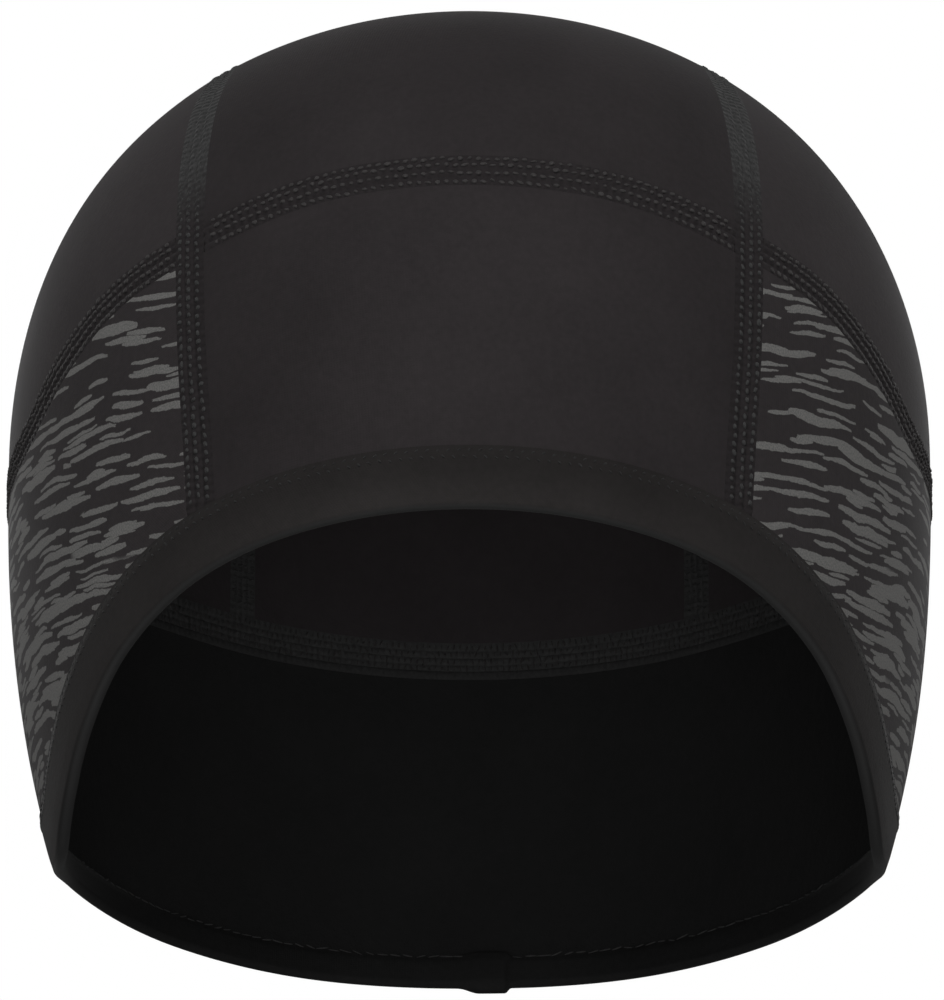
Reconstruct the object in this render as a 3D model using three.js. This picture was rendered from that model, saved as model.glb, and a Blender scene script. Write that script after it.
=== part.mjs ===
// A thermal skull cap: five cloth panels, flat seams between them and a folded binding round the edge.
// It keeps the shape that it has on a head. +Z is up, the brow faces -Y and the wearer's left is +X.
// The origin is where the top of the head meets the inside of the crown. Sizes are in millimetres.
import * as THREE from 'three';
import { mergeVertices } from 'three/addons/utils/BufferGeometryUtils.js';

// The dome, measured on its outer face from the level where it is widest
const capWidth = 160;
const capLength = 200;
const crownHeight = 77;
const napeDepth = 66.9; // down to the edge at the nape
const browDepth = 38.7; // down to the edge at the brow
const earDepth = 73.6; // down to the edge over the ears
const sideTuck = 7.8; // how far the edge draws in from the widest level, at each side
const browTuck = 2.9;
const napeTuck = 7.6;
const tuckPower = 2.4;
const crownFullness = 0.0274; // swell of the crown beyond a true ellipsoid
const browFullness = 0.06; // how much wider the brow half is than the nape half

// The seams, from the widest level up
const archHeight = 20.2; // top of the arched seam over the brow
const napeSeamHeight = -0.6; // the same seam round the back
const earSeamHeight = -7.2; // the same seam over the ears
const seamSpacing = 45.7; // middle of the cap to the long seams, at their widest

// Cloth, seams and binding
const clothWall = 1.5;
const seamWidth = 6;
const seamProud = 0.3; // what a flat seam stands above the cloth, on either face
const gap = 0.3; // clearance between pieces that are sewn together
const bindingWall = 0.8;
const bindingOuterWidth = 10.5; // from the fold up the outside
const bindingInnerWidth = 6.5; // from the fold up the inside
const lapWidth = 9.8; // where the binding's ends lap at the nape
const lapOffset = 2.8; // middle of the lap, towards the wearer's left
const lapWall = 0.6;

// Fineness of the faces
const facet = 8; // usual length of a face
const sideRun = 1.25; // length of a side panel's lower edge, as a share of capLength
const ringRun = 2.35; // length of the seam round the nape, from one long seam to the other, likewise
const lineSteps = 336; // points on a line drawn round the cap
const stride = 3; // longest single step when a line is shifted sideways
const seamStep = 0.2; // length of the step where a seam slips into the binding
const foldSides = 4; // faces round the binding's fold
const bindingExtraSteps = 12; // the edge rises and dips, so it is longer than the widest level
const lapSteps = 3;
const weld = 1e-3; // corners nearer than this are one

// Levels of the edge and of the seam, by azimuth from the brow. brow and ear are shares of the way from the
// nape's edge to the brow's and the ears' edge, arch and dip the same for the seam.
const levels = [
  { azimuth: 0, brow: 1, ear: 0, arch: 1, dip: 0 },
  { azimuth: 17, brow: 0.945, ear: 0, arch: 0.925, dip: 0 },
  { azimuth: 32, brow: 0.785, ear: 0, arch: 0.68, dip: 0 },
  { azimuth: 45, brow: 0.505, ear: 0, arch: 0.435, dip: 0 },
  { azimuth: 56, brow: 0.17, ear: 0, arch: 0.085, dip: 0 },
  { azimuth: 65, brow: 0, ear: 0.33, arch: 0, dip: 0.67 },
  { azimuth: 76, brow: 0, ear: 1, arch: 0, dip: 0.98 },
  { azimuth: 87, brow: 0, ear: 0.8, arch: 0, dip: 1 },
  { azimuth: 102, brow: 0, ear: 0.24, arch: 0, dip: 0.72 },
  { azimuth: 130, brow: 0, ear: 0.14, arch: 0, dip: 0.13 },
  { azimuth: 152, brow: 0, ear: 0.1, arch: 0, dip: 0.03 },
  { azimuth: 180, brow: 0, ear: 0, arch: 0, dip: 0 },
];

// How far the long seams lie from the middle, as a share of seamSpacing. along is the chart's q: it runs
// from the brow, below -1, over the top, 0, to the nape.
const spreads = [
  { along: -1.4, spread: 0.92 },
  { along: -1.08, spread: 0.956 },
  { along: -0.85, spread: 1 },
  { along: -0.65, spread: 1.008 },
  { along: -0.5, spread: 0.982 },
  { along: -0.38, spread: 0.938 },
  { along: -0.2, spread: 0.885 },
  { along: 0, spread: 0.865 },
  { along: 0.4, spread: 0.92 },
  { along: 0.75, spread: 0.95 },
  { along: 1.1, spread: 0.93 },
];

// The chart's distance from its middle to a level that is well below the whole edge
const chartRim = 1 + (1.2 * Math.max(browDepth, napeDepth, earDepth)) / (crownHeight * (Math.PI / 2));

// A smooth value from a table's column: each stretch is a cubic whose end slopes come from the rows around.
function readTable(rows, key, column, place) {
  const last = rows.length - 1;
  const at = THREE.MathUtils.clamp(place, rows[0][key], rows[last][key]);
  const next = rows.findIndex((row) => row[key] > at);
  const i = next < 0 ? last - 1 : Math.max(next - 1, 0);
  const slope = (k) => {
    if (k === 0 || k === last) {
      return 0;
    }
    return (rows[k + 1][column] - rows[k - 1][column]) / (rows[k + 1][key] - rows[k - 1][key]);
  };
  const span = rows[i + 1][key] - rows[i][key];
  const t = (at - rows[i][key]) / span;
  const rise = rows[i + 1][column] - rows[i][column];
  const start = span * slope(i);
  const end = span * slope(i + 1);
  return rows[i][column] + t * (start + t * (3 * rise - 2 * start - end + t * (start + end - 2 * rise)));
}

function solve(rises, low, high) {
  for (let i = 0; i < 40; i += 1) {
    const middle = (low + high) / 2;
    if (rises(middle)) {
      low = middle;
    } else {
      high = middle;
    }
  }
  return (low + high) / 2;
}

// The dome's outer face over a flat chart: p runs to the wearer's left and q to the nape, and the distance
// from the chart's middle is 0 at the top, 1 at the widest level and more below it.
function dome(p, q) {
  const reach = Math.hypot(p, q);
  const side = reach > 0 ? p / reach : 0;
  const back = reach > 0 ? q / reach : 1;
  const tilt = (Math.min(reach, 1) * Math.PI) / 2;
  const swell = 1 + crownFullness * Math.sin(2 * tilt) ** 2;
  const depth = Math.max(reach - 1, 0) * crownHeight * (Math.PI / 2);
  const z = crownHeight * swell * Math.cos(tilt) - depth;
  const tuck = (2 * sideTuck / capWidth) * side ** 2
    + (browTuck / capLength) * back ** 2 * (1 - back)
    + (napeTuck / capLength) * back ** 2 * (1 + back);
  const round = swell * Math.sin(tilt) - tuck * (depth / napeDepth) ** tuckPower;
  const x = (capWidth / 2) * round * side * (1 - browFullness * round * back);
  return new THREE.Vector3(x, (capLength / 2) * round * back, z);
}

// The face's outward direction at a place on the chart, and the way along it for each chart direction
function face(p, q) {
  const nudge = 1e-4;
  const alongP = dome(p + nudge, q).sub(dome(p - nudge, q)).divideScalar(2 * nudge);
  const alongQ = dome(p, q + nudge).sub(dome(p, q - nudge)).divideScalar(2 * nudge);
  return { alongP, alongQ, outward: alongP.clone().cross(alongQ).normalize() };
}

// A level line round the cap between two azimuths in degrees, at a level for each azimuth
function lineRound(from, to, level) {
  const steps = Math.round(((to - from) / 360) * lineSteps);
  return Array.from({ length: steps + 1 }, (_, i) => {
    const azimuth = from + ((to - from) * i) / steps;
    const turn = THREE.MathUtils.degToRad(azimuth);
    const away = Math.abs(THREE.MathUtils.euclideanModulo(azimuth + 180, 360) - 180);
    const target = level(away);
    const reach = solve((r) => dome(r * Math.sin(turn), -r * Math.cos(turn)).z > target, 0, chartRim);
    return [reach * Math.sin(turn), -reach * Math.cos(turn)];
  });
}

const share = (column, away) => readTable(levels, 'azimuth', column, away);

function edgeLevel(away) {
  const rise = (napeDepth - browDepth) * share('brow', away);
  return rise - (earDepth - napeDepth) * share('ear', away) - napeDepth;
}

function seamLevel(away) {
  const rise = (archHeight - napeSeamHeight) * share('arch', away);
  return rise - (napeSeamHeight - earSeamHeight) * share('dip', away) + napeSeamHeight;
}

// The middle line of the wearer's left long seam, from the brow over the top to the nape
function longLine() {
  const first = -chartRim;
  const last = spreads[spreads.length - 1].along;
  return Array.from({ length: lineSteps + 1 }, (_, i) => {
    const q = first + ((last - first) * i) / lineSteps;
    const target = seamSpacing * readTable(spreads, 'along', 'spread', q);
    return [solve((p) => dome(p, q).x < target, 0, 1), q];
  });
}

// A line moved sideways over the face, to the left of its travel as seen from outside
function shifted(line, distance, closed = false) {
  const strides = Math.max(1, Math.ceil(Math.abs(distance) / stride));
  let moved = line;
  for (let k = 0; k < strides; k += 1) {
    const from = moved;
    const last = from.length - 1;
    moved = from.map(([p, q], i) => {
      const before = i > 0 ? i - 1 : last - 1;
      const after = i < last ? i + 1 : 1;
      const start = dome(...from[closed ? before : Math.max(i - 1, 0)]);
      const end = dome(...from[closed ? after : Math.min(i + 1, last)]);
      const { alongP, alongQ, outward } = face(p, q);
      const left = outward.clone().cross(end.sub(start)).normalize().multiplyScalar(distance / strides);
      const pp = alongP.dot(alongP);
      const pq = alongP.dot(alongQ);
      const qq = alongQ.dot(alongQ);
      const whole = pp * qq - pq * pq;
      const dp = (qq * alongP.dot(left) - pq * alongQ.dot(left)) / whole;
      const dq = (pp * alongQ.dot(left) - pq * alongP.dot(left)) / whole;
      return [p + dp, q + dq];
    });
  }
  return moved;
}

// Where two lines cross, as a place along the first: whole numbers are its points
function crossing(line, other) {
  for (let i = 0; i + 1 < line.length; i += 1) {
    const [ax, ay] = line[i];
    const ux = line[i + 1][0] - ax;
    const uy = line[i + 1][1] - ay;
    for (let j = 0; j + 1 < other.length; j += 1) {
      const [bx, by] = other[j];
      const vx = other[j + 1][0] - bx;
      const vy = other[j + 1][1] - by;
      const cross = ux * vy - uy * vx;
      const s = ((bx - ax) * vy - (by - ay) * vx) / cross;
      const t = ((bx - ax) * uy - (by - ay) * ux) / cross;
      if (s >= 0 && s < 1 && t >= 0 && t < 1) {
        return i + s;
      }
    }
  }
  throw new Error('two lines of the pattern do not cross');
}

function pointAt(line, place) {
  const i = Math.min(Math.floor(place), line.length - 2);
  const t = place - i;
  return [0, 1].map((k) => line[i][k] * (1 - t) + line[i + 1][k] * t);
}

// The stretch of a line between the two lines that cross it, in even steps
function stretch(line, startLine, endLine, steps) {
  const from = crossing(line, startLine);
  const to = crossing(line, endLine);
  const fine = 4 * lineSteps;
  const places = Array.from({ length: fine + 1 }, (_, i) => from + ((to - from) * i) / fine);
  const points = places.map((place) => pointAt(line, place));
  const lengths = [0];
  for (let i = 1; i <= fine; i += 1) {
    lengths.push(lengths[i - 1] + dome(...points[i]).distanceTo(dome(...points[i - 1])));
  }
  return Array.from({ length: steps + 1 }, (_, k) => {
    const target = (lengths[fine] * k) / steps;
    const i = Math.min(Math.max(lengths.findIndex((length) => length >= target) - 1, 0), fine - 1);
    const t = (target - lengths[i]) / (lengths[i + 1] - lengths[i]);
    return k === steps ? points[fine] : pointAt(points, i + t);
  });
}

const mirrored = (line) => line.map(([p, q]) => [-p, q]);

// Rows of chart points that fill the space between four lines: bottom and top run the same way, and so do
// left and right
function fill(bottom, top, left, right) {
  const columns = bottom.length - 1;
  const rows = left.length - 1;
  return left.map((_, j) => bottom.map((__, i) => {
    const u = i / columns;
    const v = j / rows;
    return [0, 1].map((k) => {
      const across = (1 - v) * bottom[i][k] + v * top[i][k] + (1 - u) * left[j][k] + u * right[j][k];
      const lower = (1 - u) * bottom[0][k] + u * bottom[columns][k];
      const upper = (1 - u) * top[0][k] + u * top[columns][k];
      return across - (1 - v) * lower - v * upper;
    });
  }));
}

// Rows of chart points between two lines that run the same way
function ruled(bottom, top, rows) {
  return Array.from({ length: rows + 1 }, (_, j) => bottom.map((point, i) => {
    const v = j / rows;
    return [0, 1].map((k) => point[k] * (1 - v) + top[i][k] * v);
  }));
}

function closedGeometry(positions, triangles) {
  const loose = new THREE.BufferGeometry();
  loose.setAttribute('position', new THREE.Float32BufferAttribute(positions.flatMap((v) => v.toArray()), 3));
  loose.setIndex(triangles);
  const merged = mergeVertices(loose, weld);
  const index = merged.getIndex();
  const kept = [];
  for (let i = 0; i < index.count; i += 3) {
    const corners = [index.getX(i), index.getX(i + 1), index.getX(i + 2)];
    if (new Set(corners).size === 3) {
      kept.push(...corners);
    }
  }
  merged.setIndex(kept);
  merged.computeVertexNormals();
  return merged;
}

// A wall of cloth over rows of chart points. proud gives what it stands above the cloth in each column.
function wall(grid, proud = () => 0) {
  const rows = grid.length;
  const columns = grid[0].length;
  const positions = [];
  for (const side of [1, 0]) {
    grid.forEach((row) => row.forEach(([p, q], i) => {
      const height = side ? proud(i) : -clothWall - proud(i);
      positions.push(dome(p, q).addScaledVector(face(p, q).outward, height));
    }));
  }
  const at = (inner, j, i) => inner * rows * columns + j * columns + i;
  const triangles = [];
  const quad = (a, b, c, d) => triangles.push(a, b, c, a, c, d);
  for (let j = 0; j + 1 < rows; j += 1) {
    for (let i = 0; i + 1 < columns; i += 1) {
      quad(at(0, j, i), at(0, j, i + 1), at(0, j + 1, i + 1), at(0, j + 1, i));
      quad(at(1, j, i), at(1, j + 1, i), at(1, j + 1, i + 1), at(1, j, i + 1));
    }
  }
  for (let i = 0; i + 1 < columns; i += 1) {
    quad(at(1, 0, i), at(1, 0, i + 1), at(0, 0, i + 1), at(0, 0, i));
    quad(at(0, rows - 1, i), at(0, rows - 1, i + 1), at(1, rows - 1, i + 1), at(1, rows - 1, i));
  }
  for (let j = 0; j + 1 < rows; j += 1) {
    quad(at(0, j, 0), at(0, j + 1, 0), at(1, j + 1, 0), at(1, j, 0));
    quad(at(1, j, columns - 1), at(1, j + 1, columns - 1), at(0, j + 1, columns - 1), at(0, j, columns - 1));
  }
  return closedGeometry(positions, triangles);
}

// A folded strip's section: up is measured from the fold of the binding and out from the cloth's outer
// face. clear is what lies between the cloth and the strip, and floor is where its channel ends.
function foldSection({ clear, thickness, floor }) {
  const outerSkin = clear + thickness;
  const innerSkin = -clothWall - clear - thickness;
  const radius = (outerSkin - innerSkin) / 2;
  const middle = (outerSkin + innerSkin) / 2;
  const bottom = floor - thickness;
  const foldDepth = 2 * thickness;
  const fold = Array.from({ length: foldSides + 1 }, (_, i) => {
    const turn = (Math.PI * i) / foldSides;
    return { up: bottom + foldDepth * (1 - Math.sin(turn)), out: middle + radius * Math.cos(turn) };
  });
  const half = bindingOuterWidth / 2;
  return [
    { up: floor, out: clear },
    { up: half, out: clear },
    { up: bindingOuterWidth, out: clear },
    { up: bindingOuterWidth, out: outerSkin },
    { up: half, out: outerSkin },
    ...fold,
    { up: bindingInnerWidth, out: innerSkin },
    { up: bindingInnerWidth, out: -clothWall - clear },
    { up: floor, out: -clothWall - clear },
  ];
}

// Points at even places along a line
function sampled(line, steps) {
  return Array.from({ length: steps + 1 }, (_, k) => pointAt(line, (k * (line.length - 1)) / steps));
}

// A folded strip along a line of the cap's edge, all the way round or with two flat ends
function foldedStrip(line, section, steps, closed) {
  const stations = steps + 1;
  const sides = section.length;
  const rows = section.map(({ up, out }) => sampled(shifted(line, up, closed), steps).map(([p, q]) => (
    dome(p, q).addScaledVector(face(p, q).outward, out)
  )));
  const at = (i, j) => (i % sides) * stations + j;
  const triangles = [];
  for (let j = 0; j < steps; j += 1) {
    for (let i = 0; i < sides; i += 1) {
      triangles.push(at(i, j), at(i + 1, j), at(i + 1, j + 1), at(i, j), at(i + 1, j + 1), at(i, j + 1));
    }
  }
  if (!closed) {
    const outline = section.map(({ up, out }) => new THREE.Vector2(out, up));
    for (const corners of THREE.ShapeUtils.triangulateShape(outline, [])) {
      const clockwise = THREE.ShapeUtils.isClockWise(corners.map((i) => outline[i]));
      const [a, b, c] = clockwise ? corners.reverse() : corners;
      triangles.push(at(a, 0), at(b, 0), at(c, 0));
      triangles.push(at(a, steps), at(c, steps), at(b, steps));
    }
  }
  return closedGeometry(rows.flat(), triangles);
}

// Lines of the pattern: the edge, the seam round the cap and the long seams, with their sides
const channel = bindingWall + gap; // from the fold up to the edge of the cloth in the binding
const halfSeam = seamWidth / 2;
const setBack = halfSeam + gap; // from a seam's middle to the cloth beside it

const browEdge = lineRound(-90, 90, edgeLevel);
const wholeEdge = lineRound(0, 360, edgeLevel);
const clothBrowEdge = shifted(browEdge, channel);
const clothEdge = shifted(wholeEdge, channel, true);
const bindingTop = shifted(browEdge, bindingOuterWidth + gap);
const seamTop = shifted(browEdge, bindingOuterWidth + gap + seamStep);

const arch = lineRound(-90, 90, seamLevel);
const ring = lineRound(0, 360, seamLevel);
const long = longLine();
const longSide = (distance) => shifted(long, distance);
const innerLong = longSide(setBack);
const outerLong = longSide(-setBack);

function frontPanel() {
  const top = shifted(arch, -setBack);
  const left = mirrored(innerLong);
  const columns = Math.round((2 * seamSpacing) / facet);
  const rows = Math.round((archHeight + browDepth) / facet);
  return fill(
    stretch(clothBrowEdge, left, innerLong, columns),
    stretch(top, left, innerLong, columns),
    stretch(left, clothBrowEdge, top, rows),
    stretch(innerLong, clothBrowEdge, top, rows),
  );
}

function crownPanel() {
  const bottom = shifted(arch, setBack);
  const top = shifted(ring, setBack);
  const left = mirrored(innerLong);
  const columns = Math.round((2 * seamSpacing) / facet);
  const rows = Math.round((capLength + crownHeight) / facet);
  return fill(
    stretch(bottom, left, innerLong, columns),
    stretch(behind(top), left, innerLong, columns),
    stretch(left, bottom, behind(top), rows),
    stretch(innerLong, bottom, behind(top), rows),
  );
}

// The part of a line round the whole cap that lies in the nape half, from the wearer's right to the left
function behind(line) {
  return line.filter(([, q]) => q > 0).reverse();
}

function sidePanel() {
  const bottom = shifted(ring, setBack).filter(([p]) => p > 0);
  const columns = Math.round((sideRun * capLength) / facet);
  const rows = Math.round(crownHeight / facet);
  const frontHalf = bottom.filter(([, q]) => q < 0);
  const napeHalf = bottom.filter(([, q]) => q > 0);
  const lower = stretch(bottom, outerLong.filter(([, q]) => q < 0), outerLong.filter(([, q]) => q > 0), columns);
  const upper = stretch(outerLong, frontHalf, napeHalf, columns);
  const pinch = (point) => Array.from({ length: rows + 1 }, () => point);
  return fill(lower, upper, pinch(lower[0]), pinch(lower[columns]));
}

function lowerPanel() {
  const top = shifted(ring, -setBack);
  const start = outerLong.filter(([, q]) => q < 0);
  const end = mirrored(start);
  const columns = Math.round((ringRun * capLength) / facet);
  const rows = Math.round((napeDepth + napeSeamHeight) / facet);
  return fill(
    stretch(clothEdge, start, end, columns),
    stretch(top, start, end, columns),
    stretch(start, clothEdge, top, rows),
    stretch(end, clothEdge, top, rows),
  );
}

function archSeam() {
  const columns = Math.round((2 * seamSpacing) / facet);
  const left = mirrored(innerLong);
  const sides = [-halfSeam, halfSeam].map((side) => stretch(shifted(arch, side), left, innerLong, columns));
  return ruled(...sides, 1);
}

function ringSeam() {
  const columns = Math.round((ringRun * capLength) / facet);
  const start = outerLong.filter(([, q]) => q < 0);
  const sides = [-halfSeam, halfSeam].map((side) => (
    stretch(shifted(ring, side), start, mirrored(start), columns)
  ));
  return ruled(...sides, 1);
}

// A long seam is as thin as the cloth where it lies in the binding, and stands proud above it
const tuckedSteps = 1;

function longSeam() {
  const steps = Math.round((capLength + crownHeight + browDepth) / facet);
  const nape = behind(shifted(ring, setBack));
  const sides = [-halfSeam, halfSeam].map((side) => {
    const line = longSide(side);
    return [
      ...stretch(line, clothBrowEdge, bindingTop, tuckedSteps),
      ...stretch(line, seamTop, nape, steps),
    ];
  });
  return ruled(...sides, 1);
}

const longProud = (column) => (column > tuckedSteps ? seamProud : 0);

function mirroredGrid(grid) {
  return grid.map((row) => mirrored(row)).reverse();
}

function edgeBinding() {
  const section = foldSection({ clear: gap, thickness: bindingWall, floor: bindingWall });
  const steps = Math.round((Math.PI * (capWidth + capLength)) / 2 / facet) + bindingExtraSteps;
  return foldedStrip(wholeEdge, section, steps, true);
}

// A line at one distance from the middle of the cap, over the nape's edge
function napeLine(offset) {
  return Array.from({ length: lapSteps + 1 }, (_, i) => {
    const q = 1 + ((chartRim - 1) * i) / lapSteps;
    return [solve((p) => dome(p, q).x < offset, -1, 1), q];
  });
}

function bindingOverlap() {
  const section = foldSection({ clear: gap + bindingWall + gap, thickness: lapWall, floor: -gap });
  const nearSide = napeLine(lapOffset + lapWidth / 2);
  const farSide = napeLine(lapOffset - lapWidth / 2);
  return foldedStrip(stretch(wholeEdge, nearSide, farSide, lapSteps), section, lapSteps, false);
}

const cap = new THREE.Group();
cap.position.z = clothWall - crownHeight;

function add(name, geometry, color, roughness) {
  const mesh = new THREE.Mesh(geometry, new THREE.MeshStandardMaterial({ color, roughness, metalness: 0 }));
  mesh.name = name;
  cap.add(mesh);
}

const plainCloth = 0x2f2c2c;
const printedCloth = 0x3a3837;
const thread = 0x242222;
const bindingCloth = 0x282625;
const longGrid = longSeam();
const sideGrid = sidePanel();

add('front_panel', wall(frontPanel()), plainCloth, 0.85);
add('crown_panel', wall(crownPanel()), plainCloth, 0.85);
add('side_panel_left', wall(sideGrid), plainCloth, 0.85);
add('side_panel_right', wall(mirroredGrid(sideGrid)), plainCloth, 0.85);
add('lower_panel', wall(lowerPanel()), printedCloth, 0.8);
add('seam_front_arch', wall(archSeam(), () => seamProud), thread, 0.9);
add('seam_back_ring', wall(ringSeam(), () => seamProud), thread, 0.9);
add('seam_long_left', wall(longGrid, longProud), thread, 0.9);
add('seam_long_right', wall(mirroredGrid(longGrid), longProud), thread, 0.9);
add('edge_binding', edgeBinding(), bindingCloth, 0.8);
add('binding_overlap', bindingOverlap(), bindingCloth, 0.8);

const model = new THREE.Group();
model.add(cap);

export default model;
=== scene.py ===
"""The looks of a thermal skull cap: fine knitted panels, flat seams with their threads, a printed panel and
a folded binding. Every surface lies on one dome, in the shape that the cap has on a head."""
import math

import bmesh
import bpy
import numpy as np
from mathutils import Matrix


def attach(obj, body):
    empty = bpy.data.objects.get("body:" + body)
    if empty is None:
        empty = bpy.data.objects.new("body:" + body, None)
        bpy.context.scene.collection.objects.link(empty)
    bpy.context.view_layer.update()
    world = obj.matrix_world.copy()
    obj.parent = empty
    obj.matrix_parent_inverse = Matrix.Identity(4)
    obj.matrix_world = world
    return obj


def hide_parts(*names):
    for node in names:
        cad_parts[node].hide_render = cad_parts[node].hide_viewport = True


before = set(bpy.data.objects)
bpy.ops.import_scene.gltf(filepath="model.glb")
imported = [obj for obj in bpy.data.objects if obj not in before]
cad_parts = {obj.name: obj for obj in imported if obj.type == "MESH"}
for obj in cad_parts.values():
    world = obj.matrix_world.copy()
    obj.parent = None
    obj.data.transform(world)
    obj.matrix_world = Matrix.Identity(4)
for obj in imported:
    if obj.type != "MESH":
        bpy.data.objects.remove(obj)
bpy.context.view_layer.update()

# Lengths are in millimetres until a mesh is made
MM = 0.001

# The dome, measured on its outer face from the level where it is widest
cap_width = 160
cap_length = 200
crown_height = 77
nape_depth = 66.9
brow_depth = 38.7
ear_depth = 73.6
side_tuck = 7.8
brow_tuck = 2.9
nape_tuck = 7.6
tuck_power = 2.4
crown_fullness = 0.0274
brow_fullness = 0.06

# The seams, from the widest level up
arch_height = 20.2
nape_seam_height = -0.6
ear_seam_height = -7.2
seam_spacing = 45.7

# Cloth, seams and binding
cloth_wall = 1.5
seam_width = 6
gap = 0.3
binding_wall = 0.8
binding_outer_width = 10.5
binding_inner_width = 6.5
lap_width = 9.8
lap_offset = 2.8
lap_wall = 0.6

# Levels of the edge and of the seam round the cap, by azimuth from the brow, as shares
levels = {
    "azimuth": [0, 17, 32, 45, 56, 65, 76, 87, 102, 130, 152, 180],
    "brow": [1, 0.945, 0.785, 0.505, 0.17, 0, 0, 0, 0, 0, 0, 0],
    "ear": [0, 0, 0, 0, 0, 0.33, 1, 0.8, 0.24, 0.14, 0.1, 0],
    "arch": [1, 0.925, 0.68, 0.435, 0.085, 0, 0, 0, 0, 0, 0, 0],
    "dip": [0, 0, 0, 0, 0, 0.67, 0.98, 1, 0.72, 0.13, 0.03, 0],
}

# How far the long seams lie from the middle, as a share of seam_spacing, along the chart's q
spreads = {
    "along": [-1.4, -1.08, -0.85, -0.65, -0.5, -0.38, -0.2, 0, 0.4, 0.75, 1.1],
    "spread": [0.92, 0.956, 1, 1.008, 0.982, 0.938, 0.885, 0.865, 0.92, 0.95, 0.93],
}

# Fineness
line_steps = 720  # of a line round the cap
stride = 3  # the longest step of a sideways move
cloth_step = 1.6  # of a panel's grid
seam_step = 1.0  # of a seam's grid along it
halvings = 40  # of an interval, to find a place in it
edge_rows = np.array([0, 0.06, 0.16, 0.3, 0.5, 0.8, 1.3, 2.0])  # of a panel's grid, from its edge
rim_margin = 1.2  # how far down the chart reaches, as a share of the lowest edge's depth
chart_rim = 1 + (rim_margin * max(brow_depth, nape_depth, ear_depth)) / (crown_height * math.pi / 2)


def smooth(t):
    """Rises from 0 at t = 0 to 1 at t = 1, level at both ends: t squared times (3 - 2t)."""
    t = np.clip(t, 0, 1)
    return t * t * (3 - 2 * t)


def read_table(table, key, column, place):
    """A column between its rows: each stretch is a cubic whose end slopes come from the rows around."""
    at = np.array(table[key], float)
    value = np.array(table[column], float)
    slope = np.zeros(len(at))
    slope[1:-1] = (value[2:] - value[:-2]) / (at[2:] - at[:-2])
    place = np.clip(place, at[0], at[-1])
    i = np.clip(np.searchsorted(at, place, side="right") - 1, 0, len(at) - 2)
    span = at[i + 1] - at[i]
    t = (place - at[i]) / span
    rise = value[i + 1] - value[i]
    start = span * slope[i]
    end = span * slope[i + 1]
    return value[i] + t * (start + t * (3 * rise - 2 * start - end + t * (start + end - 2 * rise)))


def solve(rises, low, high, shape):
    """Bisection on a whole array: the place in each interval where rises(place) turns from true to false."""
    low = np.full(shape, float(low))
    high = np.full(shape, float(high))
    for _ in range(halvings):
        middle = (low + high) / 2
        up = rises(middle)
        low = np.where(up, middle, low)
        high = np.where(up, high, middle)
    return (low + high) / 2


def dome(p, q):
    """The outer face over a flat chart, p to the wearer's left and q to the nape. The distance from the
    chart's middle is 0 at the top and 1 at the widest level: up to there the height is a swollen cosine and
    the radius a swollen sine, and below it the wall goes straight down and draws in by a power of the
    depth."""
    reach = np.hypot(p, q)
    safe = np.where(reach > 0, reach, 1)
    side = p / safe
    back = np.where(reach > 0, q / safe, 1)
    tilt = np.minimum(reach, 1) * math.pi / 2
    swell = 1 + crown_fullness * np.sin(2 * tilt) ** 2
    depth = np.maximum(reach - 1, 0) * crown_height * math.pi / 2
    z = crown_height * swell * np.cos(tilt) - depth
    tuck = (
        (2 * side_tuck / cap_width) * side**2
        + (brow_tuck / cap_length) * back**2 * (1 - back)
        + (nape_tuck / cap_length) * back**2 * (1 + back)
    )
    round_ = swell * np.sin(tilt) - tuck * (depth / nape_depth) ** tuck_power
    x = (cap_width / 2) * round_ * side * (1 - brow_fullness * round_ * back)
    return np.stack([x, (cap_length / 2) * round_ * back, z], axis=-1)


def unit(vectors):
    """Vectors divided by their lengths."""
    return vectors / np.maximum(np.linalg.norm(vectors, axis=-1, keepdims=True), 1e-12)


def face(p, q):
    """How the face runs for each chart direction, by central differences, and its outward direction."""
    nudge = 1e-4
    along_p = (dome(p + nudge, q) - dome(p - nudge, q)) / (2 * nudge)
    along_q = (dome(p, q + nudge) - dome(p, q - nudge)) / (2 * nudge)
    return along_p, along_q, unit(np.cross(along_p, along_q))


def on_face(chart):
    return dome(chart[..., 0], chart[..., 1])


def outward(chart):
    return face(chart[..., 0], chart[..., 1])[2]


def raised(chart, height):
    """The face's points over a chart, moved out along the face's normals by height."""
    return on_face(chart) + outward(chart) * np.asarray(height)[..., None]


def dot(a, b):
    return (a * b).sum(axis=-1)


def shifted(line, distance, closed=False):
    """A line moved sideways over the face, to the left of its travel seen from outside, by one distance or
    by one for each point. Each stride takes the chart step whose image on the face is the left-hand unit
    vector times the stride's length."""
    distance = np.asarray(distance, float)[..., None]
    strides = max(1, math.ceil(np.abs(distance).max() / stride))
    for _ in range(strides):
        if closed:
            before = np.roll(line[:-1], 1, axis=0)
            after = np.roll(line[:-1], -1, axis=0)
            before, after = (np.concatenate([x, x[:1]]) for x in (before, after))
        else:
            before = np.concatenate([line[:1], line[:-1]])
            after = np.concatenate([line[1:], line[-1:]])
        along_p, along_q, out = face(line[:, 0], line[:, 1])
        travel = on_face(after) - on_face(before)
        left = unit(np.cross(out, travel)) * distance / strides
        pp, pq, qq = dot(along_p, along_p), dot(along_p, along_q), dot(along_q, along_q)
        whole = pp * qq - pq * pq
        step_p = (qq * dot(along_p, left) - pq * dot(along_q, left)) / whole
        step_q = (pp * dot(along_q, left) - pq * dot(along_p, left)) / whole
        line = line + np.stack([step_p, step_q], axis=-1)
    return line


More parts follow.
